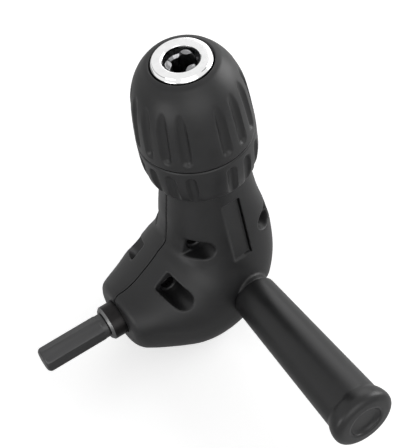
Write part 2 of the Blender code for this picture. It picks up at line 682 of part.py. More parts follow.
def make_chuck_body():
    """The steel body with a bore for the bit, a thread for the spindle and three inclined jaw bores."""
    spigot = NOSE_RING_RADIUS - 1.3
    nose = NOSE_RING_RADIUS - 0.2
    nut_seat = 9.3
    thread = 4.7 + GAP
    base = CHUCK_BASE + 3.4 + GAP
    ring_base = NOSE_TOP - NOSE_RING_HEIGHT
    outline = [
        (spigot, NOSE_TOP - NOSE_RING_PLATE - GAP), (spigot, ring_base - GAP), (nose, ring_base - GAP),
        (nose, NUT_TOP + 0.3), (nut_seat, NUT_TOP + 0.3), (nut_seat, BODY_FLANGE_TOP),
        (BODY_FLANGE_RADIUS - 0.5, BODY_FLANGE_TOP), (BODY_FLANGE_RADIUS, BODY_FLANGE_TOP - 0.5),
        (BODY_FLANGE_RADIUS, 62.0), (12.0, 58.5), (12.0, base), (thread, base),
        (thread, CHUCK_FLOOR - 3.0), (3.3, CHUCK_FLOOR - 3.0), (3.3, CHUCK_FLOOR),
        (CHUCK_BORE, CHUCK_FLOOR), (CHUCK_BORE, NOSE_TOP - 4.5), (NOSE_HOLE_RADIUS, NOSE_TOP - 3.5),
        (NOSE_HOLE_RADIUS, NOSE_TOP - NOSE_RING_PLATE - GAP),
    ]
    body = turned("chuck_body", CHUCK_AXIS, outline, "bright_steel", steps=24)
    for index in range(3):
        place, turn = jaw_place(index)
        axis = make_axis(f"jaw_bore_axis_{index + 1}", place, turn, CHUCK_AXIS)
        bore = rod_mesh("jaw_bore", JAW_RADIUS + GAP, -JAW_LENGTH - JAW_BACK_TRAVEL - GAP, 12.0, segments=20)
        combine(body, add_piece(f"cut_jaw_bore_{index + 1}", bore, axis))


def make_chuck_screw():
    """The screw down the middle that keeps the chuck from unwinding off the spindle."""
    head_low = CHUCK_FLOOR + GAP
    head_high = head_low + 3.0
    outline = [(0, head_high - 1.2), (0.9, head_high - 1.2), (1.2, head_high), (3.6, head_high), (4.4, head_high - 0.8),
               (4.4, head_low), (2.2, head_low), (2.2, CHUCK_BASE + 2.5), (0, CHUCK_BASE + 1.9)]
    turned("chuck_screw", CHUCK_AXIS, outline, "black_steel", steps=16, on_axis=True)


def make_nose_ring():
    """The bright ring pressed on the chuck's nose."""
    low = NOSE_TOP - NOSE_RING_HEIGHT
    r = NOSE_RING_RADIUS
    spigot = r - 1.3 + GAP
    outline = ([(NOSE_HOLE_RADIUS + 0.5, NOSE_TOP)] + arc((r - 0.8, NOSE_TOP - 0.8), 0.8, 90, 0, 4)
               + [(r, low), (spigot, low), (spigot, NOSE_TOP - NOSE_RING_PLATE), (NOSE_HOLE_RADIUS, NOSE_TOP - NOSE_RING_PLATE),
                  (NOSE_HOLE_RADIUS, NOSE_TOP - 0.5)])
    turned("nose_ring", CHUCK_AXIS, outline, "chrome", steps=32)


def groove_cutter(name, low, high, center_low, center_high, radius):
    """Round-ended flutes for one sleeve, in groups with a smooth land between them."""
    made = bmesh.new()
    count = round(2 * math.pi / GROOVE_PITCH)
    length = high - low - 2 * radius
    lean = math.atan2(center_low - center_high, high - low)
    for k in range(count):
        if k % LAND_EVERY == 0:
            continue
        turn = FIRST_LAND + k * GROOVE_PITCH
        new = bmesh.ops.create_uvsphere(made, u_segments=10, v_segments=6, radius=radius)["verts"]
        for vert in new:
            if abs(vert.co.z) > radius * 0.01:
                vert.co.z += math.copysign(length / 2, vert.co.z)
        middle = ((center_low + center_high) / 2, 0, (low + high) / 2)
        place = Matrix.Rotation(turn, 4, "Z") @ Matrix.Translation(middle) @ Matrix.Rotation(-lean, 4, "Y")
        bmesh.ops.transform(made, matrix=place, verts=new)
    bmesh.ops.scale(made, vec=(MM, MM, MM), verts=made.verts)
    mesh = bpy.data.meshes.new(name)
    made.to_mesh(mesh)
    made.free()
    return add_piece(name, mesh, CHUCK_AXIS)


def make_front_sleeve():
    """The sleeve that the hand turns to open and close the jaws."""
    low = SLEEVE_PARTING + PARTING_GROOVE / 2
    swell = CHUCK_RADIUS - SLEEVE_MOUTH
    dome = [(SLEEVE_MOUTH + share * swell, height) for share, height in SLEEVE_DOME]
    outline = [(SLEEVE_MOUTH + 0.5, 98.0)] + dome + [
        (CHUCK_RADIUS, low + 0.7), (CHUCK_RADIUS - 0.5, low),
        (SLEEVE_INNER_RADIUS, low), (SLEEVE_INNER_RADIUS, 83.8), (SLEEVE_INNER_RADIUS - 2.5, 89.0), (SLEEVE_MOUTH, 94.0),
        (SLEEVE_MOUTH, 97.5),
    ]
    sleeve = turned("front_sleeve", CHUCK_AXIS, outline, "grip_plastic", steps=36)
    flutes = groove_cutter("cut_front_flutes", low + 2.6, 93.0, CHUCK_RADIUS + 0.85, CHUCK_RADIUS - 1.35, GROOVE_RADIUS)
    combine(sleeve, flutes)


def make_rear_sleeve():
    """The sleeve fixed on the chuck body, held while the front one is turned."""
    high = SLEEVE_PARTING - PARTING_GROOVE / 2
    floor = CHUCK_BASE + 2.4
    inner = BODY_FLANGE_RADIUS + GAP + 0.2
    outline = [
        (CHUCK_RADIUS - 0.5, high), (CHUCK_RADIUS, high - 0.6), (CHUCK_RADIUS, 60.5), (CHUCK_RADIUS - 0.3, 57.0),
        (CHUCK_RADIUS - 1.0, 53.6), (CHUCK_RADIUS - 1.7, 51.9), (CHUCK_BASE_RADIUS, CHUCK_BASE), (8.0, CHUCK_BASE),
        (8.0, floor), (BODY_FLANGE_RADIUS - 0.9, floor),
        (inner, floor + 1.5), (inner, high),
    ]
    sleeve = turned("rear_sleeve", CHUCK_AXIS, outline, "grip_plastic", steps=36)
    flutes = groove_cutter("cut_rear_flutes", 49.0, high - 2.2, CHUCK_RADIUS - 0.4, CHUCK_RADIUS + 1.0, GROOVE_RADIUS)
    combine(sleeve, flutes)


def make_scroll_nut():
    """The threaded nut inside the front sleeve, and the thrust ring under it."""
    clear = JAW_RADIUS / math.cos(JAW_TILT) + RUNNING_GAP
    outer = SLEEVE_INNER_RADIUS - GAP
    outline = [(outer, NUT_TOP - 0.4), (outer, NUT_BASE + 0.4), (outer - 0.4, NUT_BASE), (jaw_axis_at(NUT_BASE) + clear, NUT_BASE),
               (jaw_axis_at(NUT_TOP) + clear, NUT_TOP), (outer - 0.4, NUT_TOP)]
    turned("scroll_nut", CHUCK_AXIS, outline, "bright_steel", steps=20)
    thrust_low = BODY_FLANGE_TOP + GAP
    ring("thrust_ring", CHUCK_AXIS, jaw_axis_at(thrust_low) + clear, outer, thrust_low, NUT_BASE - GAP, "bright_steel")


def make_chuck():
    make_chuck_body()
    make_chuck_screw()
    make_nose_ring()
    make_front_sleeve()
    make_rear_sleeve()
    make_scroll_nut()
    make_jaws()


# Side handle

def make_handle():
    """A tapered grip with a flared end, moulded on a threaded stud."""
    base = HANDLE_BASE
    end = HANDLE_BASE + HANDLE_LENGTH
    neck = end - FLANGE_LENGTH
    recess = WASHER_RADIUS + GAP
    recess_top = base + WASHER_THICKNESS + GAP
    stud_hole = STUD_RADIUS + GAP
    dish = DISH_RADIUS
    outline = ([(0, end - 1.5), (dish - 0.5, end - 1.5), (dish, end - 1.0), (dish + 0.2, end)]
               + [(dish + 1.0, end)]
               + arc((FLANGE_RADIUS - 2.2, end - 2.6), 2.2, 75, -20, 6)
               + [(HANDLE_TIP_RADIUS + 0.35, neck + 1.3), (HANDLE_TIP_RADIUS, neck), (HANDLE_BASE_RADIUS, base + 0.6),
                  (HANDLE_BASE_RADIUS - 0.6, base), (recess, base), (recess, recess_top), (stud_hole, recess_top),
                  (stud_hole, STUD_OUTER_END + GAP), (0, STUD_OUTER_END + GAP)])
    turned("handle_grip", HANDLE_AXIS, outline, "grip_plastic", steps=28, on_axis=True)
    stud = [(0, STUD_OUTER_END), (STUD_RADIUS, STUD_OUTER_END), (STUD_RADIUS, STUD_INNER_END + 0.6),
            (STUD_RADIUS - 0.6, STUD_INNER_END), (0, STUD_INNER_END)]
    turned("handle_stud", HANDLE_AXIS, stud, "bright_steel", steps=16, on_axis=True)
    ring("handle_washer", HANDLE_AXIS, STUD_RADIUS + GAP, WASHER_RADIUS, base, base + WASHER_THICKNESS, "bright_steel", steps=18)
    ring("handle_insert", HANDLE_AXIS, STUD_RADIUS + GAP, INSERT_RADIUS, STUD_INNER_END - 0.4, base - GAP - 0.1, "brass", steps=18)


make_housing()
make_bearings()
make_gear_train()
make_input_shaft()
make_spindle()
make_chuck()
make_handle()
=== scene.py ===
"""Right angle drill adapter: the looks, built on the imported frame.

X runs out along the shank, Y out along the side handle and Z up the chuck. The three
axes meet at the crossing, 75 mm behind the shank's end. Outlines, stations and places are
written in millimetres from the crossing; what Blender gets is in metres.
"""
import math

import bmesh
import bpy
from mathutils import Matrix, Vector


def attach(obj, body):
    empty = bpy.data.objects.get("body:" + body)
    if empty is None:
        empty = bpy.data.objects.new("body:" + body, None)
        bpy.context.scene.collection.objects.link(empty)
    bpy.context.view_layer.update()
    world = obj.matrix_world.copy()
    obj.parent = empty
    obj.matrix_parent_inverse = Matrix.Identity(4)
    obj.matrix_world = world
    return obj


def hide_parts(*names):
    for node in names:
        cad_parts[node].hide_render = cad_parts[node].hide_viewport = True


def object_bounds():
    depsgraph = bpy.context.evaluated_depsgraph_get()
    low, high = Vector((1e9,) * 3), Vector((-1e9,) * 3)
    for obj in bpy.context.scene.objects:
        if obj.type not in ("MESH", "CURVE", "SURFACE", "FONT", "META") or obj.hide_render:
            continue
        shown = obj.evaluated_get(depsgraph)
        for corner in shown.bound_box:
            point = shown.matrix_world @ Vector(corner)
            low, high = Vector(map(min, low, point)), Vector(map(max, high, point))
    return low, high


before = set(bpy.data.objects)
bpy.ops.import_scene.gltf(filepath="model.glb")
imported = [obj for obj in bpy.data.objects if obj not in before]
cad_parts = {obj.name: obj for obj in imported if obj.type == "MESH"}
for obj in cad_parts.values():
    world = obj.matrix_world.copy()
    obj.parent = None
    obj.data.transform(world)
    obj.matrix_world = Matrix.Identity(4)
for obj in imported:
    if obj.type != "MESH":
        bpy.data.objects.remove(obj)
cad_box = [list(corner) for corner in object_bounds()]
MM = 0.001

# Camera. It stands above the handle's side and looks down on the bend of the housing,
# turned a little about its own view, as a product photographer holds it by hand.
crossing = Vector((-0.075, 0.0, 0.0))
camera_azimuth = math.radians(66.785)
camera_elevation = math.radians(49.490)
camera_roll = math.radians(-12.186)
camera_place = crossing + Vector((0.13370, 0.29877, 0.40288))
camera_data = bpy.data.cameras.new("camera")
camera_data.sensor_width = 36
camera_data.lens = 114.64
camera_data.clip_start = 0.01
camera = bpy.data.objects.new("camera", camera_data)
bpy.context.scene.collection.objects.link(camera)
camera_back = Vector((math.cos(camera_elevation) * math.cos(camera_azimuth),
                      math.cos(camera_elevation) * math.sin(camera_azimuth), math.sin(camera_elevation)))
level_right = Vector((-math.sin(camera_azimuth), math.cos(camera_azimuth), 0))
level_up = camera_back.cross(level_right)
camera_right = math.cos(camera_roll) * level_right + math.sin(camera_roll) * level_up
camera_up = math.cos(camera_roll) * level_up - math.sin(camera_roll) * level_right
camera.matrix_world = Matrix((camera_right, camera_up, camera_back)).transposed().to_4x4()
camera.matrix_world.translation = camera_place
bpy.context.scene.camera = camera
bpy.context.scene.view_settings.view_transform = "Standard"

# Light. A wide soft box beside the camera, one on the far side that the bright nose ring
# mirrors, and one low on either hand for the bright rims, in a pale room.
def soft_box(name, place, width, watts):
    data = bpy.data.lights.new(name, "AREA")
    data.shape = "DISK"
    data.size = width
    data.energy = watts
    lamp = bpy.data.objects.new(name, data)
    bpy.context.scene.collection.objects.link(lamp)
    lamp.location = place
    lamp.rotation_euler = (crossing - lamp.location).to_track_quat("-Z", "Y").to_euler()


soft_box("front_box", crossing + Vector((0.15, 0.75, 0.30)), 0.8, 2.1)
soft_box("far_box", crossing + Vector((-0.55, -0.5, 0.5)), 0.6, 1.2)
soft_box("right_box", crossing + Vector((-0.70, 0.10, 0.22)), 0.6, 3.6)
soft_box("left_box", crossing + Vector((0.70, 0.22, 0.0)), 0.5, 2.0)

room = bpy.data.worlds.new("pale_room")
room.use_nodes = True
bpy.context.scene.world = room
air = room.node_tree
air.nodes.clear()
seen = air.nodes.new("ShaderNodeLightPath")
either = air.nodes.new("ShaderNodeMath")
either.operation = "MAXIMUM"
air.links.new(seen.outputs["Is Camera Ray"], either.inputs[0])
air.links.new(seen.outputs["Is Transmission Ray"], either.inputs[1])
any_seen = air.nodes.new("ShaderNodeMath")
any_seen.operation = "MAXIMUM"
air.links.new(either.outputs[0], any_seen.inputs[0])
air.links.new(seen.outputs["Is Glossy Ray"], any_seen.inputs[1])
dim = air.nodes.new("ShaderNodeBackground")
dim.inputs["Color"].default_value = (1, 1, 1, 1)
dim.inputs["Strength"].default_value = 0.33
white = air.nodes.new("ShaderNodeBackground")
white.inputs["Color"].default_value = (1, 1, 1, 1)
white.inputs["Strength"].default_value = 1.0
choice = air.nodes.new("ShaderNodeMixShader")
air.links.new(any_seen.outputs[0], choice.inputs[0])
air.links.new(dim.outputs[0], choice.inputs[1])
air.links.new(white.outputs[0], choice.inputs[2])
air.links.new(choice.outputs[0], air.nodes.new("ShaderNodeOutputWorld").inputs["Surface"])

# Floor. A plain white sheet under the housing, which is the lowest part of the object.
floor_mesh = bpy.data.meshes.new("floor")
floor_height = cad_box[0][2] - 0.0002
corners = [(-2, -2), (2, -2), (2, 2), (-2, 2)]
floor_mesh.from_pydata([(x, y, floor_height) for x, y in corners], [], [(0, 1, 2, 3)])
floor = bpy.data.objects.new("floor", floor_mesh)
bpy.context.scene.collection.objects.link(floor)
paper = bpy.data.materials.new("white_paper")
paper.use_nodes = True
paper_shader = paper.node_tree.nodes["Principled BSDF"]
paper_shader.inputs["Base Color"].default_value = (0.93, 0.93, 0.93, 1)
paper_shader.inputs["Roughness"].default_value = 0.9
paper_shader.inputs["Specular IOR Level"].default_value = 0.0
paper_shader.inputs["Emission Color"].default_value = (1, 1, 1, 1)
paper_glow = paper.node_tree.nodes.new("ShaderNodeLightPath")
paper_scale = paper.node_tree.nodes.new("ShaderNodeMath")
paper_scale.operation = "MULTIPLY"
paper_scale.inputs[1].default_value = 0.55
paper.node_tree.links.new(paper_glow.outputs["Is Camera Ray"], paper_scale.inputs[0])
paper.node_tree.links.new(paper_scale.outputs[0], paper_shader.inputs["Emission Strength"])
floor_mesh.materials.append(paper)

# Housing. Two half shells of black glass-filled plastic, moulded with a fine spark-eroded
# grain and screwed together on the plane of the shaft and the chuck. Each one is lofted
# round the bend, hollowed for the gears and bearings, and has its edges softened.
neck_reach = 43.8            # from the inside of the bend to the chuck's axis
arm_reach = 49.5             # and to the shank's
bend = crossing + Vector((neck_reach, 0.0, arm_reach)) * MM
# Each station: share of the turn from neck to arm, then the skin's inner and outer edge, its
# half width and where it is widest, all but the first in millimetres from the bend.
housing_stations = [
    (0.0, 28.8, 58.8, 15.0, 43.8),
    (0.15, 28.8, 61.4, 15.9, 45.1),
    (0.30, 29.9, 69.4, 17.2, 49.3),
    (0.45, 33.0, 78.0, 19.0, 56.2),
    (0.525, 34.9, 79.4, 21.0, 60.2),
    (0.60, 34.8, 79.6, 22.3, 61.3),
    (0.75, 36.0, 75.8, 21.5, 57.6),
    (0.90, 38.0, 69.2, 16.2, 49.6),
    (1.0, 38.2, 61.7, 13.3, 49.5),
]
neck_edge = 1.0              # rounding of the skin's two ends
arm_edge = 3.0
case_gap = 0.1               # from each half to the plane between them
end_turns = [0.0005, 0.0012, 0.003, 0.006, 0.997, 0.9985, 0.9993, 0.985, 0.975, 0.967]


def housing_station(turn):
    """A smooth curve through the stations, in millimetres from the inside of the bend."""
    rows = housing_stations
    k = max(i for i in range(len(rows) - 1) if rows[i][0] <= turn)
    a, b = rows[k], rows[k + 1]
    before, after = rows[max(k - 1, 0)], rows[min(k + 2, len(rows) - 1)]
    span = b[0] - a[0]
    f = (turn - a[0]) / span
    values = []
    for i in range(1, 5):
        slope_a = (b[i] - before[i]) / (b[0] - before[0]) * span
        slope_b = (after[i] - a[i]) / (after[0] - a[0]) * span
        values.append((2 * f**3 - 3 * f**2 + 1) * a[i] + (f**3 - 2 * f**2 + f) * slope_a
                      + (3 * f**2 - 2 * f**3) * b[i] + (f**3 - f**2) * slope_b)
    return values


def housing_section(turn, side, steps):
    """One half ring of the skin, round at the ends of the bend and squarer in between."""
    inner, outer, half, widest = housing_station(turn)
    for edge, start, reach in ((neck_edge, 0.0, neck_reach), (arm_edge, 1.0, arm_reach)):
        near = abs(turn - start) * reach * math.pi / 2
        if near < edge:
            inset = edge - math.sqrt(edge**2 - (edge - near) ** 2)
            inner, outer, half = inner + inset, outer - inset, half - inset
    blend = min(1.0, 5 * turn, 5 * (1 - turn))
    angle = math.pi + turn * math.pi / 2
    away = Vector((math.cos(angle), 0, math.sin(angle)))
    ring = []
    for i in range(steps + 1):
        round_angle = math.pi * (1 - i / steps)
        c, s = math.cos(round_angle), math.sin(round_angle)
        full = 2 + ((2.2 if c < 0 else 3.0) - 2) * blend
        reach = (widest - inner) if c < 0 else (outer - widest)
        along = widest + reach * math.copysign(abs(c) ** (2 / full), c)
        width = max(half * max(s, 0.0) ** (2 / full), case_gap)
        ring.append(bend + (away * along + Vector((0, side * width, 0))) * MM)
    return ring


def mesh_from_rings(name, rings, closed=False):
    """A skin over rings of equal point counts, closed on itself or capped at both ends."""
    made = bmesh.new()
    rows = [[made.verts.new(p) for p in ring] for ring in rings]
    for a, b in zip(rows, rows[1:] + rows[:1] if closed else rows[1:]):
        for i in range(len(a)):
            j = (i + 1) % len(a)
            made.faces.new((a[i], a[j], b[j], b[i]))
    if not closed:
        made.faces.new(reversed(rows[0]))
        made.faces.new(rows[-1])
    bmesh.ops.remove_doubles(made, verts=made.verts, dist=1e-7)
    bmesh.ops.recalc_face_normals(made, faces=made.faces)
    mesh = bpy.data.meshes.new(name)
    made.to_mesh(mesh)
    made.free()
    return mesh


def place_piece(name, mesh, sharp=32.0):
    """Links a finished mesh with smooth faces and hard edges where it bends sharply."""
    mesh.shade_smooth()
    mesh.set_sharp_from_angle(angle=math.radians(sharp))
    piece = bpy.data.objects.new(name, mesh)
    bpy.context.scene.collection.objects.link(piece)
    return piece


def settle(piece):
    """Turns what the modifiers make into a plain mesh and drops them."""
    made = bpy.data.meshes.new_from_object(piece.evaluated_get(bpy.context.evaluated_depsgraph_get()))
    old = piece.data
    made.name = old.name
    piece.modifiers.clear()
    piece.data = made
    bpy.data.meshes.remove(old)
    return piece


chuck_axis = Matrix.Translation(crossing)
shank_axis = Matrix.Translation(crossing) @ Matrix.Rotation(math.pi / 2, 4, "Y")
handle_axis = Matrix.Translation(crossing + Vector((0.0005, 0, 0))) @ Matrix.Rotation(-math.pi / 2, 4, "X")


def rounded_outline(corners):
    """Corners of an outline as (radius, height, rounding), in millimetres, to a smooth line."""
    line = []
    for i, (r, h, fillet) in enumerate(corners):
        here = Vector((r, h))
        if not fillet:
            line.append(here)
            continue
        before = Vector(corners[i - 1][:2])
        after = Vector(corners[(i + 1) % len(corners)][:2])
        start = here + (before - here).normalized() * min(fillet, (before - here).length * 0.48)
        end = here + (after - here).normalized() * min(fillet, (after - here).length * 0.48)
        for k in range(6):
            f = k / 5
            line.append(start * (1 - f) ** 2 + here * 2 * f * (1 - f) + end * f**2)
    return line


def turned_mesh(name, corners, axis, steps=96, longest=3.0):
    """Turns a closed outline about an axis, with long runs cut into shorter ones."""
    line = rounded_outline(corners)
    points = []
    for a, b in zip(line, line[1:] + line[:1]):
        cuts = max(1, math.ceil((b - a).length / longest))
        points += [a.lerp(b, k / cuts) for k in range(cuts)]
    rings = []
    for r, h in points:
        ring = []
        for k in range(steps):
            angle = 2 * math.pi * k / steps
            ring.append(axis @ (Vector((r * math.cos(angle), r * math.sin(angle), h)) * MM))
        rings.append(ring)
    return mesh_from_rings(name, rings, closed=True)


def moulded_plastic(name, tone, roughness, grain_size, grain_depth):
    """Black plastic: a faint cloudy tone, uneven sheen and the tool's grain."""
    finish = bpy.data.materials.new(name)
    finish.use_nodes = True
    tree = finish.node_tree
    shader = tree.nodes["Principled BSDF"]
    shader.inputs["Specular IOR Level"].default_value = 0.38
    where = tree.nodes.new("ShaderNodeTexCoord")
    cloud = tree.nodes.new("ShaderNodeTexNoise")
    cloud.inputs["Scale"].default_value = 140.0
    cloud.inputs["Detail"].default_value = 4.0
    tree.links.new(where.outputs["Object"], cloud.inputs["Vector"])
    ramp = tree.nodes.new("ShaderNodeValToRGB")
    ramp.color_ramp.elements[0].position = 0.3
    ramp.color_ramp.elements[0].color = (*(c * 0.82 for c in tone), 1)
    ramp.color_ramp.elements[1].position = 0.7
    ramp.color_ramp.elements[1].color = (*(c * 1.18 for c in tone), 1)
    tree.links.new(cloud.outputs["Fac"], ramp.inputs["Fac"])
    tree.links.new(ramp.outputs["Color"], shader.inputs["Base Color"])
    sheen = tree.nodes.new("ShaderNodeMapRange")
    sheen.inputs["To Min"].default_value = roughness - 0.06
    sheen.inputs["To Max"].default_value = roughness + 0.06
    tree.links.new(cloud.outputs["Fac"], sheen.inputs["Value"])
    tree.links.new(sheen.outputs["Result"], shader.inputs["Roughness"])
    grain = tree.nodes.new("ShaderNodeTexNoise")
    grain.inputs["Scale"].default_value = 1 / grain_size
    grain.inputs["Detail"].default_value = 3.0
    tree.links.new(where.outputs["Object"], grain.inputs["Vector"])
    bump = tree.nodes.new("ShaderNodeBump")
    bump.inputs["Distance"].default_value = grain_depth
    bump.inputs["Strength"].default_value = 0.6
    tree.links.new(grain.outputs["Fac"], bump.inputs["Height"])
    tree.links.new(bump.outputs["Normal"], shader.inputs["Normal"])
    return finish


grained_black = moulded_plastic("grained_black_plastic", (0.0105, 0.0105, 0.011), 0.44, 0.0004, 0.00005)

small_seat = 9.8
neck_seat = 12.3
gear_room = 12.6
neck_bore = [
    (0, 53, 0), (neck_seat, 53, 0), (neck_seat, 40.7, 0), (7.4, 40.7, 0), (7.4, 24.2, 0), (small_seat, 24.2, 0),
    (small_seat, 17.7, 0), (gear_room, 17.7, 0), (gear_room, 5, 0), (0, 5, 0),
]
arm_bore = [
    (0, 47, 0), (6.4, 47, 0), (6.4, 24.2, 0), (small_seat, 24.2, 0), (small_seat, 17.7, 0),
    (gear_room, 17.7, 0), (gear_room, 5, 0), (0, 5, 0),
]
middle_room = [(0, 9, 0), (8.5, 9, 0), (8.5, -3, 0), (0, -3, 0)]
# Screw pockets: place (x, z), the way each runs out of the side, and its floor's height.
pockets = [
    ((12.3, 26.5), math.radians(8), 8.4),
    ((25.2, 11.4), math.radians(62), 7.8),
    ((-12.4, 25.4), math.radians(172), 8.4),
    ((-7.6, -5.2), None, 8.4),
]
pocket_radius = 3.7
pocket_run = 14.0
past_the_side = 27.5
screw_hole = 1.85
head_room = (3.5, 1.4)       # radius and depth of the seat of a screw's head
insert_hole = 6.3
boss_corners = [(0, 22.2, 0), (7.3, 22.2, 0.3), (7.5, 15.5, 0), (0, 15.5, 0)]
# Rows for box_mesh at the name plate on the neck: (height, x from, x to, floor).
plate_recess = ((17.5, -3.5, 3.5, 17.9), (43.5, -3.5, 3.5, 15.1), 0.9)
plate_slit = ((17.3, -3.9, -3.25, 14.4), (43.5, -3.9, -3.25, 11.9))
plate_foot = ((17.3, -3.3, -0.9, 15.4), (17.9, -3.3, -0.9, 15.3))


def circle(place, radius, steps=24):
    """A circle's points (x, z) on the plane between the halves."""
    turns = [2 * math.pi * i / steps for i in range(steps)]
    return [(place[0] + radius * math.cos(t), place[1] + radius * math.sin(t)) for t in turns]


def prism_mesh(name, outline, low, high):
    """A closed block over an outline (x, z), from one height of y to another."""
    rings = [[crossing + Vector((x, y, z)) * MM for x, z in outline] for y in (low, high)]
    return mesh_from_rings(name, rings)


def pocket_mesh(place, run_angle, floor, side):
    """A round-ended slot that starts at the pocket's floor and runs out of the side."""
    outline = circle(place, pocket_radius)
    if run_angle is not None:
        steps = 24
        turns = [run_angle + math.pi / 2 + math.pi * i / steps for i in range(steps + 1)]
        outline = [(place[0] + pocket_radius * math.cos(t), place[1] + pocket_radius * math.sin(t)) for t in turns]
        run_x, run_z = pocket_run * math.cos(run_angle), pocket_run * math.sin(run_angle)
        outline += [(x + run_x, z + run_z) for x, z in (outline[-1], outline[0])]
    return prism_mesh("pocket", outline, side * floor, side * past_the_side)


def box_mesh(name, low_row, high_row, tilt=0.0):
    """A slanting block between two heights, each row (height, x from, x to, y floor); its
    floor lies deeper at its first side by the tilt."""
    rings = []
    for z, x0, x1, y in (low_row, high_row):
        corners = ((x0, y - tilt, z), (x1, y, z), (x1, y + 8, z), (x0, y + 8, z))
        rings.append([crossing + Vector(corner) * MM for corner in corners])
    return mesh_from_rings(name, rings)


def cut_away(piece, cutters):
    """Cuts each closed mesh out of the piece; the handle's boss is added instead."""
    made = []
    for cutter in cutters:
        tool = bpy.data.objects.new("cutter", cutter)
        bpy.context.scene.collection.objects.link(tool)
        tool.hide_render = True
        made.append(tool)
        cut = piece.modifiers.new("cut", "BOOLEAN")
        cut.operation = "UNION" if cutter.name.startswith("handle_boss") else "DIFFERENCE"
        cut.solver = "EXACT"
        cut.object = tool
    settle(piece)
    for tool in made:
        bpy.data.objects.remove(tool)


def make_half_shell(name, side):
    """One half of the housing, on the handle's side (1) or the plain side (-1)."""
    steps = 110
    turns = sorted([i / steps for i in range(steps + 1)] + end_turns)
    shell = place_piece(name, mesh_from_rings(name, [housing_section(t, side, 56) for t in turns]))
    cutters = [
        turned_mesh("neck_bore", neck_bore, chuck_axis, 64),
        turned_mesh("arm_bore", arm_bore, shank_axis, 64),
        turned_mesh("gear_middle", middle_room, chuck_axis, 48),
    ]
    for place, run_angle, floor in pockets:
        radius, depth = head_room
        cutters += [
            pocket_mesh(place, run_angle, floor, side),
            prism_mesh("screw_hole", circle(place, screw_hole), -floor - 2, floor + 2),
            prism_mesh("head_room", circle(place, radius), side * (floor - depth), side * (floor + 2)),
        ]
    if side > 0:
        cutters.insert(0, turned_mesh("handle_boss", boss_corners, handle_axis, 72))
        cutters += [box_mesh("plate_recess", *plate_recess),
                    prism_mesh("insert_hole", circle((0.5, 0), insert_hole, 40), 11.0, 26.3)]
    cut_away(shell, cutters)
    even = shell.modifiers.new("even", "REMESH")
    even.mode = "VOXEL"
    even.voxel_size = 0.0004
    even.use_smooth_shade = True
    soften = shell.modifiers.new("soften", "SMOOTH")
    soften.factor = 0.5
    soften.iterations = 4
    settle(shell)
    if side > 0:
        # the narrow slit beside the plate is cut last, so that its edges stay crisp
        cut_away(shell, [box_mesh("plate_slit", *plate_slit), box_mesh("plate_foot", *plate_foot)])
    shell.data.shade_smooth()
    shell.data.set_sharp_from_angle(angle=math.radians(65))
    shell.data.materials.clear()
    shell.data.materials.append(grained_black)
    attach(shell, "housing")
    return shell


handle_half = make_half_shell("handle_side_shell", 1)
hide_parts("housing_handle_side")
plain_half = make_half_shell("plain_side_shell", -1)
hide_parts("housing_plain_side")

# Shafts, gears and bearings. Turned and ground steel: most of it is sealed inside the
# housing, and each piece keeps its solid and takes a finish with fine machining marks.
def machined_steel(name, tone, roughness, streak):
    """Bare or blackened steel with streaks along one axis and a slightly uneven sheen."""
    finish = bpy.data.materials.new(name)
    finish.use_nodes = True
    tree = finish.node_tree
    shader = tree.nodes["Principled BSDF"]
    shader.inputs["Metallic"].default_value = 1.0
    where = tree.nodes.new("ShaderNodeTexCoord")
    stretch = tree.nodes.new("ShaderNodeMapping")
    stretch.inputs["Scale"].default_value = streak
    tree.links.new(where.outputs["Object"], stretch.inputs["Vector"])
    marks = tree.nodes.new("ShaderNodeTexNoise")
    marks.inputs["Scale"].default_value = 900.0
    marks.inputs["Detail"].default_value = 5.0
    tree.links.new(stretch.outputs["Vector"], marks.inputs["Vector"])
    ramp = tree.nodes.new("ShaderNodeValToRGB")
    ramp.color_ramp.elements[0].color = (*(c * 0.8 for c in tone), 1)
    ramp.color_ramp.elements[1].color = (*(min(c * 1.2, 1.0) for c in tone), 1)
    tree.links.new(marks.outputs["Fac"], ramp.inputs["Fac"])
    tree.links.new(ramp.outputs["Color"], shader.inputs["Base Color"])
    sheen = tree.nodes.new("ShaderNodeMapRange")
    sheen.inputs["To Min"].default_value = max(roughness - 0.07, 0.02)
    sheen.inputs["To Max"].default_value = roughness + 0.07
    tree.links.new(marks.outputs["Fac"], sheen.inputs["Value"])
    tree.links.new(sheen.outputs["Result"], shader.inputs["Roughness"])
    bump = tree.nodes.new("ShaderNodeBump")
    bump.inputs["Distance"].default_value = 0.00002
    bump.inputs["Strength"].default_value = 0.4
    tree.links.new(marks.outputs["Fac"], bump.inputs["Height"])
    tree.links.new(bump.outputs["Normal"], shader.inputs["Normal"])
    return finish


bright_steel = machined_steel("ground_steel", (0.42, 0.42, 0.43), 0.28, (1, 1, 0.2))
gear_steel = machined_steel("gear_steel", (0.26, 0.25, 0.24), 0.35, (1, 1, 1))
black_oxide = machined_steel("black_oxide_steel", (0.022, 0.021, 0.021), 0.34, (1, 1, 1))
jaw_steel = machined_steel("jaw_steel", (0.24, 0.24, 0.245), 0.3, (1, 1, 0.3))
brass = machined_steel("brass", (0.58, 0.42, 0.17), 0.3, (1, 1, 1))
# a lighter steel for the bush's chamfer: a painted highlight on its front edge
chamfer_highlight_steel = machined_steel("chamfer_highlight_steel", (0.16, 0.16, 0.16), 0.35, (1, 1, 1))
shank_steel = machined_steel("shank_steel", (0.068, 0.068, 0.069), 0.45, (0.08, 1, 1))


def dress(names, finish):
    """Gives solids of the frame that are seen as they are a finish of their own."""
    for name in names:
        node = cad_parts[name]
        if not node.data.materials:
            node.data.materials.append(finish)
        for slot in node.material_slots:
            slot.material = finish


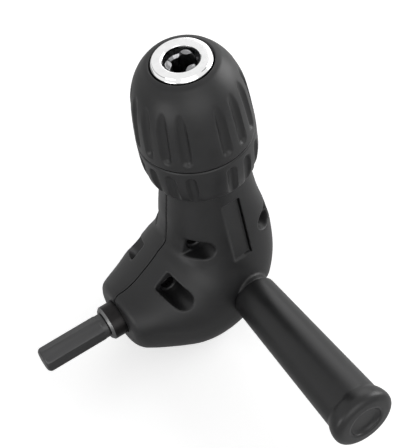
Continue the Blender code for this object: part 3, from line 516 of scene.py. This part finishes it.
dress(["input_spacer", "input_bearing_inner_race", "input_bearing_outer_race", "spindle_bearing_inner_race",
       "spindle_bearing_outer_race", "neck_bearing_inner_race", "neck_bearing_outer_race", "spindle", "chuck_body",
       "scroll_nut", "thrust_ring", "handle_stud", "handle_washer"], bright_steel)
dress(["input_gear", "output_gear"], gear_steel)
dress(["input_clip", "spindle_clip", "chuck_screw"] + [f"case_screw_{i}" for i in range(1, 5)], black_oxide)
dress([f"case_nut_{i}" for i in range(1, 5)], shank_steel)
dress(["handle_insert"], brass)
dress(["neck_seal"], moulded_plastic("seal_rubber", (0.012, 0.012, 0.012), 0.7, 0.0003, 0.00003))

# Bearing balls. Each of the three ball bearings has a row of steel balls between its races;
# they run with the inner race.
def ball_tree():
    """Geometry nodes that set balls on a circle and carry it to its place on a shaft."""
    tree = bpy.data.node_groups.new("bearing_balls", "GeometryNodeTree")
    for label, kind in (("Count", "Int"), ("Pitch Radius", "Float"), ("Ball Radius", "Float"), ("Place", "Vector"),
                        ("Turn", "Vector"), ("Finish", "Material")):
        tree.interface.new_socket(label, in_out="INPUT", socket_type="NodeSocket" + kind)
    tree.interface.new_socket("Balls", in_out="OUTPUT", socket_type="NodeSocketGeometry")
    given = tree.nodes.new("NodeGroupInput")
    row = tree.nodes.new("GeometryNodeMeshCircle")
    tree.links.new(given.outputs["Count"], row.inputs["Vertices"])
    tree.links.new(given.outputs["Pitch Radius"], row.inputs["Radius"])
    ball = tree.nodes.new("GeometryNodeMeshUVSphere")
    ball.inputs["Segments"].default_value = 24
    ball.inputs["Rings"].default_value = 14
    tree.links.new(given.outputs["Ball Radius"], ball.inputs["Radius"])
    smooth = tree.nodes.new("GeometryNodeSetShadeSmooth")
    tree.links.new(ball.outputs["Mesh"], smooth.inputs["Geometry"])
    set_out = tree.nodes.new("GeometryNodeInstanceOnPoints")
    tree.links.new(row.outputs["Mesh"], set_out.inputs["Points"])
    tree.links.new(smooth.outputs["Geometry"], set_out.inputs["Instance"])
    carry = tree.nodes.new("GeometryNodeTransform")
    tree.links.new(set_out.outputs["Instances"], carry.inputs["Geometry"])
    tree.links.new(given.outputs["Place"], carry.inputs["Translation"])
    tree.links.new(given.outputs["Turn"], carry.inputs["Rotation"])
    real = tree.nodes.new("GeometryNodeRealizeInstances")
    tree.links.new(carry.outputs["Geometry"], real.inputs["Geometry"])
    paint = tree.nodes.new("GeometryNodeSetMaterial")
    tree.links.new(real.outputs["Geometry"], paint.inputs["Geometry"])
    tree.links.new(given.outputs["Finish"], paint.inputs["Material"])
    tree.links.new(paint.outputs["Geometry"], tree.nodes.new("NodeGroupOutput").inputs["Balls"])
    return tree


balls_in_a_row = ball_tree()
quarter_turn = (0.0, math.pi / 2, 0.0)
for name, body, count, pitch, size, place, turn in (
    ("input_bearing_balls", "input", 13, 6.72, 0.78, (20.9, 0, 0), quarter_turn),
    ("spindle_bearing_balls", "output", 13, 6.72, 0.78, (0, 0, 20.9), (0, 0, 0)),
    ("neck_bearing_balls", "output", 17, 8.97, 0.85, (0, 0, 44.0), (0, 0, 0)),
):
    balls = bpy.data.objects.new(name, bpy.data.meshes.new(name))
    bpy.context.scene.collection.objects.link(balls)
    row = balls.modifiers.new("balls", "NODES")
    row.node_group = balls_in_a_row
    socket = {s.name: s.identifier for s in balls_in_a_row.interface.items_tree if s.in_out == "INPUT"}
    row[socket["Count"]] = count
    row[socket["Pitch Radius"]] = pitch * MM
    row[socket["Ball Radius"]] = size * MM
    row[socket["Place"]] = crossing + Vector(place) * MM
    row[socket["Turn"]] = turn
    row[socket["Finish"]] = bright_steel
    settle(balls)
    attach(balls, body)

# Shank. A hexagonal bar of blackened steel, 9.5 mm across its corners, with its end
# turned to a cone; a round neck joins it to the shaft that carries the input gear.
hex_corner = 4.75


def bar_ring(height, radius, flats):
    """The bar's outline at a height: a circle, with the hexagon's flats cut in it or not."""
    ring = []
    for k in range(96):
        angle = 2 * math.pi * k / 96
        reach = radius
        if flats:
            off_flat = angle % (math.pi / 3) - math.pi / 6
            reach = min(hex_corner * math.cos(math.pi / 6) / math.cos(off_flat), hex_corner * 0.985, radius)
        ring.append(shank_axis @ (Vector((reach * math.cos(angle), reach * math.sin(angle), height)) * MM))
    return ring


# Height and radius along the bar, first where it is round and then where it has its flats.
round_line = [
    (6.9, 3.5), (7.4, 4.0), (8.1, 4.0), (8.1, 3.2), (9.1, 3.2), (9.1, 4.0), (30.0, 4.0), (49.7, 4.0),
    (49.75, 4.4), (49.9, 4.5), (51.5, 4.5),
]
flat_line = [
    (52.0, 4.85), (60.0, 4.85), (67.0, 4.85), (73.6, 4.85), (74.1, 4.6), (74.5, 4.3), (74.8, 4.0),
    (74.95, 3.8), (75.0, 3.6),
]
shank_rings = [bar_ring(h, r, False) for h, r in round_line] + [bar_ring(h, r, True) for h, r in flat_line]
shank = place_piece("hex_shank", mesh_from_rings("hex_shank", shank_rings), 24)
shank.data.materials.append(shank_steel)
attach(shank, "input")
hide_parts("input_shaft")

# Front bush. A turned collar of black steel, pressed in the arm's end; its front edge is chamfered, and the
# chamfer takes a lighter steel as a painted highlight.
bush_corners = [
    (5.5, 49.6, 0.15), (6.4, 48.7, 0.2), (6.4, 30.0, 0), (4.2, 30.0, 0), (4.2, 49.1, 0), (4.7, 49.6, 0),
]
bush = place_piece("shaft_bush", turned_mesh("shaft_bush", bush_corners, shank_axis))
bush.data.materials.append(black_oxide)
bush.data.materials.append(chamfer_highlight_steel)
# the chamfer's faces take the lighter steel, a painted highlight round the front edge
chamfer_start = 48.6
for face in bush.data.polygons:
    out = (face.center - crossing).x / MM
    if out > chamfer_start and 0.3 < face.normal.x < 0.95:
        face.material_index = 1
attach(bush, "housing")
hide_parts("front_bush")

# Chuck sleeves. Two moulded sleeves with a soft sheen. The rear one is fixed on the
# chuck body, the front one is turned by hand. Round-ended flutes give the fingers a hold,
# in groups with a smooth land between them.
satin_black = moulded_plastic("satin_black_plastic", (0.012, 0.012, 0.0125), 0.43, 0.0003, 0.000025)


def flute_tree():
    """Geometry nodes that press flutes into a turned sleeve: the sleeve's radius becomes
    the smaller of its own and that of a row of round-ended cutters."""
    tree = bpy.data.node_groups.new("flutes", "GeometryNodeTree")
    tree.interface.new_socket("Sleeve", in_out="INPUT", socket_type="NodeSocketGeometry")
    for label in ("Axis X", "First", "Count", "Group", "Low", "High", "Width", "Centre Low", "Centre High", "Soft",
                  "Bore"):
        tree.interface.new_socket(label, in_out="INPUT", socket_type="NodeSocketFloat")
    tree.interface.new_socket("Finish", in_out="INPUT", socket_type="NodeSocketMaterial")
    tree.interface.new_socket("Sleeve", in_out="OUTPUT", socket_type="NodeSocketGeometry")
    given = tree.nodes.new("NodeGroupInput")
    out = tree.nodes.new("NodeGroupOutput")

    def calc(operation, *values):
        node = tree.nodes.new("ShaderNodeMath")
        node.operation = operation
        for socket, value in zip(node.inputs, values):
            if isinstance(value, (int, float)):
                socket.default_value = value
            else:
                tree.links.new(value, socket)
        return node.outputs[0]

    place = tree.nodes.new("GeometryNodeInputPosition")
    split = tree.nodes.new("ShaderNodeSeparateXYZ")
    tree.links.new(place.outputs[0], split.inputs[0])
    x = calc("SUBTRACT", split.outputs[0], given.outputs["Axis X"])
    y, z = split.outputs[1], split.outputs[2]
    radius = calc("SQRT", calc("ADD", calc("MULTIPLY", x, x), calc("MULTIPLY", y, y)))
    angle = calc("SUBTRACT", calc("ARCTAN2", y, x), given.outputs["First"])
    cell = calc("MULTIPLY", angle, calc("DIVIDE", given.outputs["Count"], 2 * math.pi))
    index = calc("ROUND", cell)
    across = calc("MULTIPLY", calc("MULTIPLY", calc("SUBTRACT", cell, index), 2 * math.pi),
                  calc("DIVIDE", radius, given.outputs["Count"]))
    kept = calc("GREATER_THAN", calc("FLOORED_MODULO", calc("ADD", index, 0.001), given.outputs["Group"]), 0.5)
    width = given.outputs["Width"]
    below = calc("SUBTRACT", calc("ADD", given.outputs["Low"], width), z)
    above = calc("SUBTRACT", z, calc("SUBTRACT", given.outputs["High"], width))
    past = calc("MAXIMUM", calc("MAXIMUM", below, above), 0.0)
    room = calc("SUBTRACT", calc("MULTIPLY", width, width),
                calc("ADD", calc("MULTIPLY", across, across), calc("MULTIPLY", past, past)))
    depth = calc("SQRT", calc("MAXIMUM", room, 0.0))
    share = calc("DIVIDE", calc("SUBTRACT", z, given.outputs["Low"]),
                 calc("SUBTRACT", given.outputs["High"], given.outputs["Low"]))
    drift = calc("SUBTRACT", given.outputs["Centre High"], given.outputs["Centre Low"])
    centre = calc("ADD", given.outputs["Centre Low"], calc("MULTIPLY", share, drift))
    cut = calc("SUBTRACT", centre, calc("MULTIPLY", depth, kept))
    cut = calc("ADD", cut, calc("MULTIPLY", calc("LESS_THAN", calc("MULTIPLY", depth, kept), 1e-7), 0.01))
    pressed = calc("SMOOTH_MIN", radius, cut, given.outputs["Soft"])
    factor = calc("DIVIDE", pressed, radius)
    moved = tree.nodes.new("ShaderNodeCombineXYZ")
    tree.links.new(calc("ADD", given.outputs["Axis X"], calc("MULTIPLY", x, factor)), moved.inputs[0])
    tree.links.new(calc("MULTIPLY", y, factor), moved.inputs[1])
    tree.links.new(z, moved.inputs[2])
    press = tree.nodes.new("GeometryNodeSetPosition")
    tree.links.new(given.outputs["Sleeve"], press.inputs["Geometry"])
    outside = calc("GREATER_THAN", radius, given.outputs["Bore"])
    tree.links.new(outside, press.inputs["Selection"])
    tree.links.new(moved.outputs[0], press.inputs["Position"])
    real = tree.nodes.new("GeometryNodeRealizeInstances")
    tree.links.new(press.outputs[0], real.inputs[0])
    paint = tree.nodes.new("GeometryNodeSetMaterial")
    tree.links.new(real.outputs[0], paint.inputs["Geometry"])
    tree.links.new(given.outputs["Finish"], paint.inputs["Material"])
    tree.links.new(paint.outputs[0], out.inputs[0])
    return tree


sleeve_flutes = flute_tree()


def fluted_sleeve(name, corners, body, node, sizes):
    """A sleeve turned from its outline, with flutes pressed in outside its bore."""
    sleeve = place_piece(name, turned_mesh(name, corners, chuck_axis, 324, 0.55))
    press = sleeve.modifiers.new("flutes", "NODES")
    press.node_group = sleeve_flutes
    named = {s.name: s.identifier for s in sleeve_flutes.interface.items_tree if s.in_out == "INPUT"}
    values = {"Axis X": crossing.x, "First": math.radians(72), "Count": 18.0, "Group": 6.0, "Soft": 0.0004,
              "Bore": 0.0168}
    for label, value in {**values, **sizes}.items():
        press[named[label]] = value
    press[named["Finish"]] = satin_black
    settle(sleeve)
    sleeve.data.shade_smooth()
    sleeve.data.set_sharp_from_angle(angle=math.radians(50))
    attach(sleeve, body)
    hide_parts(node)
    return sleeve


front_corners = [
    (10.8, 98.1, 0.3), (12.4, 97.8, 0.9), (15.0, 94.7, 1.6), (16.8, 91.4, 1.8), (18.0, 88.0, 1.8),
    (18.9, 84.0, 2.0), (19.6, 76.0, 3.0), (20.0, 68.1, 0.3), (19.7, 67.56, 0.15), (16.5, 67.56, 0),
    (16.5, 83.8, 0), (14.0, 89.0, 0), (10.4, 94.0, 0), (10.4, 97.6, 0.2),
]
fluted_sleeve("turning_sleeve", front_corners, "chuck_sleeve", "front_sleeve",
              {"Low": 0.0702, "High": 0.0930, "Width": 0.0020, "Centre Low": 0.02085, "Centre High": 0.01865})
rear_corners = [
    (19.7, 67.24, 0.15), (20.0, 66.7, 0.2), (20.0, 60.5, 2.0), (19.7, 57.0, 1.5), (19.0, 53.6, 1.0),
    (18.3, 51.9, 0.6), (17.4, 50.9, 0.5), (8.0, 50.9, 0), (8.0, 53.3, 0), (15.0, 53.3, 0),
    (16.4, 54.8, 0), (16.4, 67.24, 0),
]
fluted_sleeve("holding_sleeve", rear_corners, "output", "rear_sleeve",
              {"Low": 0.0490, "High": 0.0650, "Width": 0.0020, "Centre Low": 0.0196, "Centre High": 0.0210})

# Jaws. Three hardened steel pins in slanting bores, each with a wedge ground along it so
# that the three close on the bit, and a rounded tip.
jaw_tilt = math.radians(17)
jaw_tip = 98.2
jaw_tip_offset = 2.75
jaw_opening = 3.2            # from the chuck's axis to the gripping edges
first_jaw = math.radians(100)
pin_corners = [(0, -0.3, 0), (2.8, -0.3, 2.4), (2.8, -27.9, 0.4), (0, -27.9, 0)]
# All but the jaw's own third round the axis, seen along it, with half a millimetre of land
# on either side of the gripping edge.
wedge_faces = [
    (jaw_opening, -0.5), (jaw_opening, 0.5), (jaw_opening + 20, 35.1), (-20, 35.1), (-20, -35.1),
    (jaw_opening + 20, -35.1),
]
for index in range(3):
    around = Matrix.Rotation(first_jaw + 2 * math.pi * index / 3, 4, "Z")
    lean = Matrix.Translation((jaw_tip_offset * MM, 0, jaw_tip * MM)) @ Matrix.Rotation(-jaw_tilt, 4, "Y")
    jaw = place_piece(f"chuck_jaw_{index + 1}", turned_mesh("jaw", pin_corners, chuck_axis @ around @ lean, 64))
    wedge_rings = []
    for z in (jaw_tip - 40, jaw_tip + 10):
        wedge_rings.append([chuck_axis @ around @ (Vector((x, y, z)) * MM) for x, y in wedge_faces])
    wedge = bpy.data.objects.new("wedge", mesh_from_rings("wedge", wedge_rings))
    bpy.context.scene.collection.objects.link(wedge)
    ground = jaw.modifiers.new("ground", "BOOLEAN")
    ground.solver = "EXACT"
    ground.object = wedge
    settle(jaw)
    bpy.data.objects.remove(wedge)
    even = jaw.modifiers.new("even", "REMESH")
    even.mode = "VOXEL"
    even.voxel_size = 0.0002
    soften = jaw.modifiers.new("soften", "SMOOTH")
    soften.iterations = 3
    settle(jaw)
    jaw.data.shade_smooth()
    jaw.data.materials.clear()
    jaw.data.materials.append(jaw_steel)
    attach(jaw, f"jaw_body_{index + 1}")
    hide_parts(f"jaw_{index + 1}")

# Nose ring. A ring of polished chrome plate on the chuck's nose, with a rounded rim and a
# small chamfer round the hole that the bit goes through.
chrome = bpy.data.materials.new("polished_chrome")
chrome.use_nodes = True
chrome_tree = chrome.node_tree
chrome_shader = chrome_tree.nodes["Principled BSDF"]
chrome_shader.inputs["Metallic"].default_value = 1.0
chrome_where = chrome_tree.nodes.new("ShaderNodeTexCoord")
chrome_marks = chrome_tree.nodes.new("ShaderNodeTexNoise")
chrome_marks.inputs["Scale"].default_value = 600.0
chrome_tree.links.new(chrome_where.outputs["Object"], chrome_marks.inputs["Vector"])
chrome_tone = chrome_tree.nodes.new("ShaderNodeValToRGB")
chrome_tone.color_ramp.elements[0].color = (0.80, 0.80, 0.80, 1)
chrome_tone.color_ramp.elements[1].color = (0.90, 0.90, 0.90, 1)
chrome_tree.links.new(chrome_marks.outputs["Fac"], chrome_tone.inputs["Fac"])
chrome_tree.links.new(chrome_tone.outputs["Color"], chrome_shader.inputs["Base Color"])
chrome_sheen = chrome_tree.nodes.new("ShaderNodeMapRange")
chrome_sheen.inputs["To Min"].default_value = 0.05
chrome_sheen.inputs["To Max"].default_value = 0.12
chrome_tree.links.new(chrome_marks.outputs["Fac"], chrome_sheen.inputs["Value"])
chrome_tree.links.new(chrome_sheen.outputs["Result"], chrome_shader.inputs["Roughness"])
ring_corners = [
    (6.5, 99.4, 0.15), (9.3, 99.4, 0.12), (9.45, 99.0, 0.06), (9.65, 98.95, 0.08), (10.15, 98.2, 0.3),
    (10.15, 95.8, 0), (8.8, 95.8, 0), (8.8, 98.2, 0), (6.05, 98.2, 0), (6.05, 98.9, 0.1),
]
nose_ring = place_piece("chrome_nose_ring", turned_mesh("chrome_nose_ring", ring_corners, chuck_axis, 144))
nose_ring.data.materials.append(chrome)
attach(nose_ring, "output")
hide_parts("nose_ring")

# Side handle. A tapered grip moulded on the steel stud, with a flared end that has a
# raised rim round a shallow dish.
grip_corners = [
    (0, 87.1, 0), (4.9, 87.1, 0.5), (5.9, 87.8, 0.3), (6.1, 88.3, 0.2), (6.9, 88.5, 0.3), (9.6, 88.3, 0.8),
    (11.3, 87.3, 1.0), (11.65, 85.4, 1.2), (11.1, 83.0, 1.2), (10.4, 81.6, 0.5), (10.15, 80.9, 0.4),
    (8.25, 22.9, 0.1), (7.7, 22.3, 0.3), (6.2, 22.3, 0), (6.2, 23.3, 0), (4.0, 23.3, 0), (4.0, 45.1, 0),
    (0, 45.1, 0),
]
grip = place_piece("side_grip", turned_mesh("side_grip", grip_corners, handle_axis, 120, 1.5))
grip_black = moulded_plastic("grip_black_plastic", (0.011, 0.011, 0.0115), 0.36, 0.0003, 0.00002)
grip.data.materials.append(grip_black)
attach(grip, "handle")
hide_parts("handle_grip")
